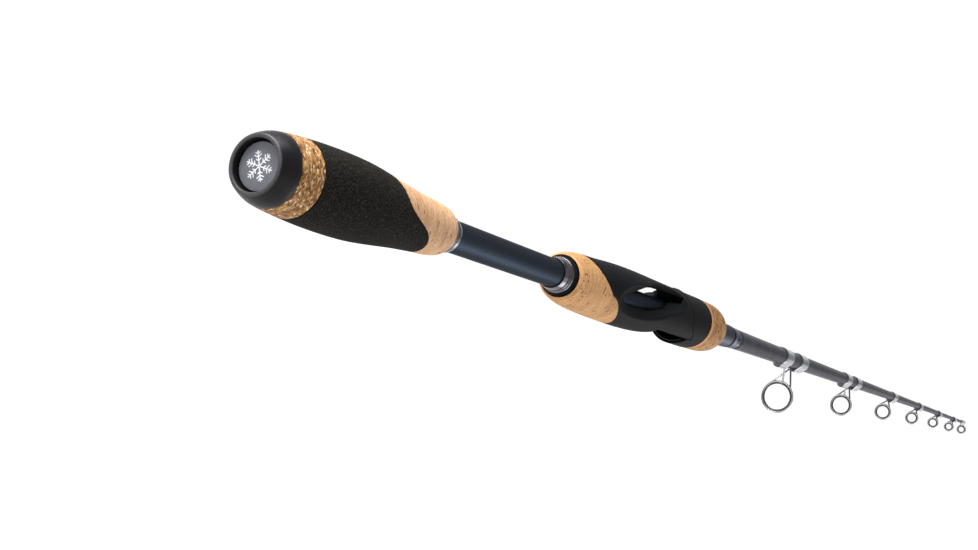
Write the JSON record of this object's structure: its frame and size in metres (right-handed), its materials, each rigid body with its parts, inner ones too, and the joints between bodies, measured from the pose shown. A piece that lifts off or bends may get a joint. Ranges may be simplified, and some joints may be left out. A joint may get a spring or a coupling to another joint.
{
  "type": "ice fishing rod",
  "caption": "Ice fishing rod with a split grip of foam and cork, a windowed spinning reel seat with a screw-down hood, and a tapered blank with ringed line guides.",
  "frame": {"origin": "the middle of the flat saddle under the reel seat, where a reel's foot rests", "axes": "+X along the rod from the butt to the tip, +Z away from the reel side towards the spine of the seat, +Y to the right of someone looking from butt to tip with the spine up; the rod's axis runs 6.8 mm above the origin"},
  "size_m": [1.067, 0.0224, 0.0415],
  "materials": {
    "black_rubber": "satin moulded rubber",
    "grey_badge": "satin grey",
    "composite_cork": "burl cork, speckled",
    "black_foam": "dense closed-cell foam, matte with fine speckle",
    "natural_cork": "natural cork with pits",
    "grey_band": "gloss",
    "chrome": "polished",
    "blue_tube": "satin dark blue",
    "soft_black": "soft-touch matte",
    "fibre_arbor": "wound fibre tape",
    "black_gloss": "gloss",
    "silver_blue": "satin anodised",
    "silver_marble": "clear over marbled foil",
    "grey_blue_blank": "clear-coated",
    "steel": "polished stainless",
    "nut_metal": "black anodised",
    "dark_ceramic": "polished",
    "dark_wrap": "thread under epoxy"
  },
  "bodies": {
    "handle": {"barrel_arbor": "fibre_arbor", "barrel_end_cap": "black_gloss", "blank": "grey_blue_blank", "butt_badge": "grey_badge", "butt_cap": "black_rubber", "butt_plug": "soft_black", "fore_check_band": "grey_band", "fore_check_outer_ring": "chrome", "fore_check_ring": "chrome", "fore_collar": "silver_blue", "fore_cork_grip": "natural_cork", "fore_recess_cup": "soft_black", "guide_1_frame": "steel", "guide_1_rear_wrap": "dark_wrap", "guide_1_ring": "dark_ceramic", "guide_1_wrap": "dark_wrap", "guide_2_frame": "steel", "guide_2_rear_wrap": "dark_wrap", "guide_2_ring": "dark_ceramic", "guide_2_wrap": "dark_wrap", "guide_3_frame": "steel", "guide_3_ring": "dark_ceramic", "guide_3_wrap": "dark_wrap", "guide_4_frame": "steel", "guide_4_ring": "dark_ceramic", "guide_4_wrap": "dark_wrap", "guide_5_frame": "steel", "guide_5_ring": "dark_ceramic", "guide_5_wrap": "dark_wrap", "guide_6_frame": "steel", "guide_6_ring": "dark_ceramic", "guide_6_wrap": "dark_wrap", "handle_tube": "blue_tube", "rear_check_band": "grey_band", "rear_check_ring": "chrome", "rear_composite_ring": "composite_cork", "rear_cork_grip": "natural_cork", "rear_foam_grip": "black_foam", "seat_arbor": "soft_black", "seat_body": "soft_black", "threaded_barrel": "soft_black", "tip_top_frame": "steel", "tip_top_ring": "dark_ceramic", "tip_top_wrap": "dark_wrap", "trim_black_line": "black_gloss", "trim_wrap": "silver_marble"},
    "hood": {"moving_hood": "soft_black", "hood_liner": "steel"},
    "nut": {"nut_core": "nut_metal", "nut_cork": "natural_cork", "nut_retaining_ring": "steel"}
  },
  "joints": [
    {"name": "hood_slide", "type": "slide", "parent": "handle", "child": "hood", "axis": [1, 0, 0], "range_m": [0, 0.015]},
    {"name": "nut_spin", "type": "hinge", "parent": "hood", "child": "nut", "pos_m": [0.0364, 0, 0.0068], "axis": [1, 0, 0], "range_deg": [0, 2700]}
  ],
  "couplings": [
    {"joint": "nut_spin", "follows": "hood_slide", "rad_per_m": 3141.6}
  ]
}
